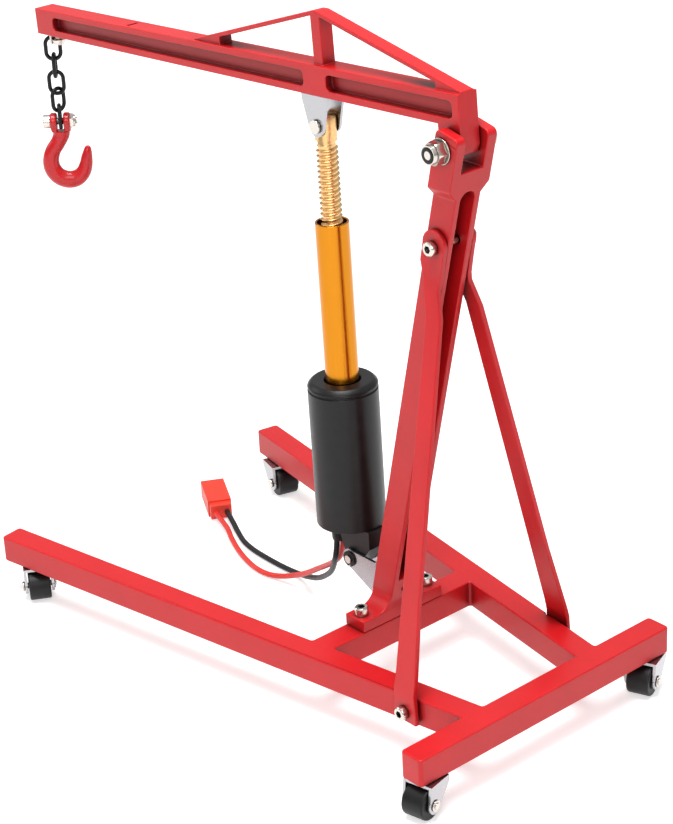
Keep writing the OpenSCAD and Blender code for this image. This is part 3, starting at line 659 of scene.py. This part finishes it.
def seen_directly(tree, lens=True):
    """1 for rays off gloss and through glass, and from the lens unless told otherwise."""
    path = tree.nodes.new("ShaderNodeLightPath")
    names = ["Is Glossy Ray", "Is Transmission Ray"] + ["Is Camera Ray"] * lens
    value = path.outputs[names[0]]
    for name in names[1:]:
        either = tree.nodes.new("ShaderNodeMath")
        either.operation = "MAXIMUM"
        tree.links.new(value, either.inputs[0])
        tree.links.new(path.outputs[name], either.inputs[1])
        value = either.outputs[0]
    return value


def floor():
    """A pale floor that keeps the shadow and shows white to the lens."""
    half = 3.0
    mesh = bpy.data.meshes.new("floor")
    corners = [(-half, -half, 0), (half, -half, 0), (half, half, 0), (-half, half, 0)]
    mesh.from_pydata(corners, [], [(0, 1, 2, 3)])
    obj = piece("floor", mesh)
    obj.location.z = -0.02 * MM
    material = bpy.data.materials.new("pale_floor")
    material.use_nodes = True
    tree = material.node_tree
    tree.nodes.clear()
    out = tree.nodes.new("ShaderNodeOutputMaterial")
    diffuse = tree.nodes.new("ShaderNodeBsdfDiffuse")
    diffuse.inputs["Color"].default_value = (0.8, 0.8, 0.8, 1.0)
    glow = tree.nodes.new("ShaderNodeEmission")
    coords = tree.nodes.new("ShaderNodeTexCoord")
    distance = tree.nodes.new("ShaderNodeVectorMath")
    distance.operation = "LENGTH"
    tree.links.new(coords.outputs["Object"], distance.inputs[0])
    far = tree.nodes.new("ShaderNodeMapRange")
    far.inputs["From Min"].default_value = 0.3
    far.inputs["From Max"].default_value = 1.2
    far.inputs["To Min"].default_value = 0.55
    far.inputs["To Max"].default_value = 1.0
    tree.links.new(distance.outputs["Value"], far.inputs["Value"])
    amount = tree.nodes.new("ShaderNodeMath")
    amount.operation = "MULTIPLY"
    tree.links.new(seen_directly(tree), amount.inputs[0])
    tree.links.new(far.outputs["Result"], amount.inputs[1])
    tree.links.new(amount.outputs[0], glow.inputs["Strength"])
    both = tree.nodes.new("ShaderNodeAddShader")
    tree.links.new(diffuse.outputs[0], both.inputs[0])
    tree.links.new(glow.outputs[0], both.inputs[1])
    tree.links.new(both.outputs[0], out.inputs["Surface"])
    mesh.materials.append(material)


def lamp(name, place, size, power):
    """A soft box that faces the middle of the hoist."""
    data = bpy.data.lights.new(name, "AREA")
    data.size = size
    data.energy = power
    obj = bpy.data.objects.new(name, data)
    obj.location = place
    aim = Vector((0.0, 0.0, 0.08)) - Vector(place)
    obj.rotation_euler = aim.to_track_quat("-Z", "Y").to_euler()
    bpy.context.scene.collection.objects.link(obj)


# each lamp's place and size in metres, and its power in watts
LAMPS = (
    ("key_box", (0.6, -0.7, 0.6), 0.5, 3.0),
    ("side_box", (-0.9, -0.5, 0.6), 0.45, 1.6),
    ("top_box", (0.1, -0.1, 1.2), 0.6, 15.0),
)


def lamps(studio):
    """Soft boxes in an even room that darkens towards its walls."""
    for name, place, size, power in LAMPS:
        lamp(name, place, size, power)
    world = bpy.data.worlds.new("white_room")
    world.use_nodes = True
    tree = world.node_tree
    background = tree.nodes["Background"]
    coords = tree.nodes.new("ShaderNodeTexCoord")
    split = tree.nodes.new("ShaderNodeSeparateXYZ")
    tree.links.new(coords.outputs["Generated"], split.inputs["Vector"])
    walls = tree.nodes.new("ShaderNodeMapRange")
    walls.inputs["From Min"].default_value = -0.1
    walls.inputs["From Max"].default_value = 0.7
    walls.inputs["To Min"].default_value = 0.42
    walls.inputs["To Max"].default_value = 1.0
    tree.links.new(split.outputs["Z"], walls.inputs["Value"])
    light = tree.nodes.new("ShaderNodeMix")
    tree.links.new(seen_directly(tree, False), light.inputs["Factor"])
    light.inputs["A"].default_value = 1.1 * studio.world
    light.inputs["B"].default_value = 0.8
    shown = tree.nodes.new("ShaderNodeMath")
    shown.operation = "MULTIPLY"
    tree.links.new(walls.outputs["Result"], shown.inputs[0])
    tree.links.new(light.outputs["Result"], shown.inputs[1])
    path = tree.nodes.new("ShaderNodeLightPath")
    level = tree.nodes.new("ShaderNodeMix")
    tree.links.new(path.outputs["Is Camera Ray"], level.inputs["Factor"])
    tree.links.new(shown.outputs[0], level.inputs["A"])
    level.inputs["B"].default_value = 1.0
    tree.links.new(level.outputs["Result"], background.inputs["Strength"])
    background.inputs["Color"].default_value = (1.0, 1.0, 1.0, 1.0)
    bpy.context.scene.world = world


class HOIST_OT_leads(bpy.types.Operator):
    """The two leads and their plug"""

    bl_idname = "hoist.leads"
    bl_label = "Leads"

    def execute(self, context):
        lead("lead_black", "lead_black_sleeve", BLACK_ROUTE, black_lead)
        lead("lead_red", "lead_red_sleeve", RED_ROUTE, red_lead)
        dress("lead_plug", red_plug)
        return {"FINISHED"}


class HOIST_OT_painted(bpy.types.Operator):
    """The painted base, mast, braces and boom"""

    bl_idname = "hoist.painted"
    bl_label = "Painted frame"

    def execute(self, context):
        edge = context.scene.hoist_look.edge
        base_bars(edge * 1.1)
        soften("mast", "mast_column", powder_coat, edge * 0.8, clamp=False)
        soften("boom", "boom_beam", powder_coat, edge * 0.5, angle=40.0, clamp=False)
        for node in ("brace_left", "brace_right"):
            soften(node, node + "_bar", powder_coat, 0.3 * MM, clamp=False)
        return {"FINISHED"}


class HOIST_OT_metalwork(bpy.types.Operator):
    """Brackets, screws, nuts and pins"""

    bl_idname = "hoist.metalwork"
    bl_label = "Metalwork"

    def execute(self, context):
        for node in ("upper_bracket", "lower_bracket"):
            soften(node, node + "_plate", bright_plate, 0.12 * MM, 2)
        for node in FASTENERS:
            soften(node, node + "_set", bright_fastener, 0.1 * MM, 2)
        for node in ("boom_bush", "upper_bracket_screw"):
            dress(node, brass_plain)
        dress("chain_eye", bright_fastener)
        dress("tail_clip", black_chain)
        # A black ring on the pivot nut's end, partly its nylon insert, partly painted shade for the recess.
        nut_ring_and_painted_shade("boom_nut")
        return {"FINISHED"}


FASTENERS = (
    "mast_screws", "brace_top_bolt", "brace_top_nut", "brace_foot_screws",
    "lower_bracket_screw", "tail_pin", "boom_bolt", "boom_nut", "boom_washers",
    "upper_pin", "chain_screw", "hook_bolt", "hook_nut",
)


def nut_ring_and_painted_shade(nut):
    """A black ring on the end of the lock nut: its nylon insert, reaching in over the bolt's end as painted shade
    for the dark recess and thread there.
    """
    low, high = (Vector(c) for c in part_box(nut))
    middle = (low + high) / 2
    section = (
        (1.1, -0.1), (1.1, 0.12), (1.2, 0.17), (1.95, 0.17), (2.1, 0.06), (2.1, -0.1), (1.1, -0.1),
    )
    rings = [
        [
            (middle.x + radius * MM * c, low.y - out * MM, middle.z + radius * MM * d)
            for c, d in circle(48)
        ]
        for radius, out in section
    ]
    obj = piece("boom_nut_ring_and_painted_shade", tube_mesh("boom_nut_ring_and_painted_shade", rings, False))
    obj.data.materials.append(finish(black_roller))
    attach(obj, BODY_OF[nut])


class HOIST_OT_actuator(bpy.types.Operator):
    """Housing, gold tube and lead screw"""

    bl_idname = "hoist.actuator"
    bl_label = "Actuator"

    def execute(self, context):
        soften("motor_housing", "housing_can", black_housing, 0.4 * MM)
        soften("housing_cap", "housing_lid", black_housing, 0.5 * MM)
        soften("outer_tube", "gold_tube", gold_anodised, 0.18 * MM)
        soften("tail_mount", "tail_block", black_housing, 0.3 * MM)
        for node, maker in (
            ("motor", motor_can), ("gearbox", motor_can), ("coupler", bright_fastener),
            ("thrust_bearing", bright_fastener), ("cable_grommet", black_housing),
        ):
            dress(node, maker)
        lead_screw(context.scene.hoist_look)
        return {"FINISHED"}


def lead_screw(look):
    """A real thread: one helical ridge wound round the rod, with a smooth neck above."""
    top = Vector(JOINTS["screw_pivot"]["pos_m"])
    length = (top.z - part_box("lead_screw")[0][2]) / ACTUATOR_AXIS.z
    neck_end, outer, flat = 5.2 * MM, 2.98 * MM, 2.0 * MM
    pitch, depth = look.thread_pitch, look.thread_depth
    side = Vector((0.0, 1.0, 0.0))
    front = side.cross(ACTUATOR_AXIS)
    around, per_turn = 64, 16
    rings = []

    def ring(down, radius):
        return [
            top - ACTUATOR_AXIS * down + (front * c + side * d) * radius(k / around)
            for k, (c, d) in enumerate(circle(around))
        ]

    def thread(down):
        def radius(turn):
            phase = ((down / pitch) + turn) % 1.0
            ridge = max(0.0, 1.0 - abs(phase - 0.5) / 0.34)
            ridge = ridge * ridge * (3.0 - 2.0 * ridge)
            run_in, run_out = (down - neck_end) / (0.8 * pitch), (length - down) / (0.5 * pitch)
            fade = min(1.0, run_in, run_out + 0.2)
            return outer - depth + depth * ridge * max(0.0, fade)
        return radius

    def flattened(size):
        def radius(turn):
            return min(outer * size, flat * size / max(0.01, abs(math.sin(turn * math.tau))))
        return radius

    for down, size in ((-3.0, 0.55), (-2.85, 0.75), (-2.3, 0.95), (-1.8, 1.0), (4.3, 1.0)):
        rings.append(ring(down * MM, flattened(size)))
    rings.append(ring(4.8 * MM, lambda turn: outer - depth))
    steps = int((length - neck_end) / pitch * per_turn)
    for i in range(steps + 1):
        down = neck_end + (length - neck_end) * i / steps
        rings.append(ring(down, thread(down)))
    obj = piece("lead_screw_thread", tube_mesh("lead_screw_thread", rings))
    adopt(obj, "lead_screw", brass_thread)


class HOIST_OT_casters(bpy.types.Operator):
    """Swivelling casters"""

    bl_idname = "hoist.casters"
    bl_label = "Casters"

    def execute(self, context):
        for i in range(1, 5):
            soften(f"caster_fork_{i}", f"caster_cheeks_{i}", bright_plate, 0.12 * MM, 2)
            soften(f"caster_wheel_{i}", f"caster_roller_{i}", black_roller, 0.25 * MM, 3)
            soften(f"caster_axle_{i}", f"caster_pin_{i}", bright_fastener, 0.12 * MM, 2)
        dress("caster_rivets", bright_fastener)
        return {"FINISHED"}


class HOIST_OT_chain(bpy.types.Operator):
    """Chain and hook"""

    bl_idname = "hoist.chain"
    bl_label = "Chain and hook"

    def execute(self, context):
        for i in range(1, 6):
            dress(f"chain_link_{i}", black_chain)
        hook()
        return {"FINISHED"}


def hook():
    """The cast hook: a swept blade and a forked eye, grown together.

    Each row of the blade is its place across and up from the eye's centre, its half width and its
    half depth, in millimetres.
    """
    joint = JOINTS["hook_swing"]
    eye = Vector(joint["pos_m"])
    across = Vector(joint["axis"]).normalized()
    depth = UP.cross(across)
    blade = [
        (0.0, -3.0, 2.7, 2.0), (-0.2, -4.4, 2.5, 2.0), (-1.3, -6.6, 2.3, 1.95),
        (-3.1, -9.2, 2.35, 2.0), (-4.0, -12.0, 2.5, 2.05), (-3.8, -14.8, 2.6, 2.1),
        (-2.2, -17.3, 2.65, 2.1), (0.5, -18.6, 2.7, 2.1), (3.2, -18.3, 2.6, 2.05),
        (5.3, -16.6, 2.3, 1.95), (6.4, -14.2, 2.05, 1.8), (6.9, -11.8, 1.75, 1.6),
        (7.3, -9.8, 1.3, 1.3), (7.5, -8.6, 0.9, 0.9), (7.6, -8.1, 0.35, 0.35),
    ]
    bm = bmesh.new()
    line = through([Vector(knot) for knot in blade], 6)
    rows = []
    for i, p in enumerate(line):
        before, after = line[max(i - 1, 0)], line[min(i + 1, len(line) - 1)]
        run = Vector((after[0] - before[0], after[1] - before[1])).normalized()
        normal = Vector((-run.y, run.x))
        row = []
        for c, d in circle(28):
            u = p[0] + normal.x * p[2] * c
            w = p[1] + normal.y * p[2] * c
            at = eye + (across * u + UP * w + depth * p[3] * d) * MM
            row.append(bm.verts.new(at))
        rows.append(row)
    join_rings(bm, rows)
    close_ends(bm, rows)
    for start, stop in ((-3.0, -1.0), (1.0, 3.0)):
        lobe = []
        for along, size in ((start, 0.86), (start + 0.35, 1.0), (stop - 0.35, 1.0), (stop, 0.86)):
            reach = 2.6 * size
            ring = []
            for c, d in circle(40):
                below = 1.0 if d > 0 else 1.35
                at = across * along + depth * reach * c + UP * reach * d * below
                ring.append(bm.verts.new(eye + at * MM))
            lobe.append(ring)
        join_rings(bm, lobe)
        close_ends(bm, lobe)
    mesh = smooth_mesh(bm, "hook_casting")
    obj = piece("hook_casting", mesh)
    remesh = obj.modifiers.new("grow", "REMESH")
    remesh.mode = "VOXEL"
    remesh.voxel_size = 0.14 * MM
    remesh.use_smooth_shade = True
    calm = obj.modifiers.new("calm", "SMOOTH")
    calm.iterations = 6
    adopt(obj, "hook", cast_red)


class HOIST_PT_panel(bpy.types.Panel):
    """Lists the hoist's steps in the sidebar"""

    bl_idname = "HOIST_PT_panel"
    bl_label = "Engine hoist crane"
    bl_space_type = "VIEW_3D"
    bl_region_type = "UI"
    bl_category = "Hoist"

    def draw(self, context):
        layout = self.layout
        for settings in (context.scene.hoist_look, context.scene.hoist_studio):
            for name in settings.__annotations__:
                layout.prop(settings, name)
        for operator in OPERATORS:
            layout.operator(operator.bl_idname)


OPERATORS = (
    HOIST_OT_stage, HOIST_OT_leads, HOIST_OT_painted, HOIST_OT_metalwork,
    HOIST_OT_actuator, HOIST_OT_casters, HOIST_OT_chain,
)
CLASSES = (HOIST_PG_look, HOIST_PG_studio, *OPERATORS, HOIST_PT_panel)


def register():
    for cls in CLASSES:
        bpy.utils.register_class(cls)
    bpy.types.Scene.hoist_look = bpy.props.PointerProperty(type=HOIST_PG_look)
    bpy.types.Scene.hoist_studio = bpy.props.PointerProperty(type=HOIST_PG_studio)


def unregister():
    del bpy.types.Scene.hoist_studio
    del bpy.types.Scene.hoist_look
    for cls in reversed(CLASSES):
        bpy.utils.unregister_class(cls)


def main():
    register()
    bpy.ops.hoist.stage()
    bpy.ops.hoist.leads()
    bpy.ops.hoist.painted()
    bpy.ops.hoist.metalwork()
    bpy.ops.hoist.actuator()
    bpy.ops.hoist.casters()
    bpy.ops.hoist.chain()


if __name__ == "__main__":
    main()
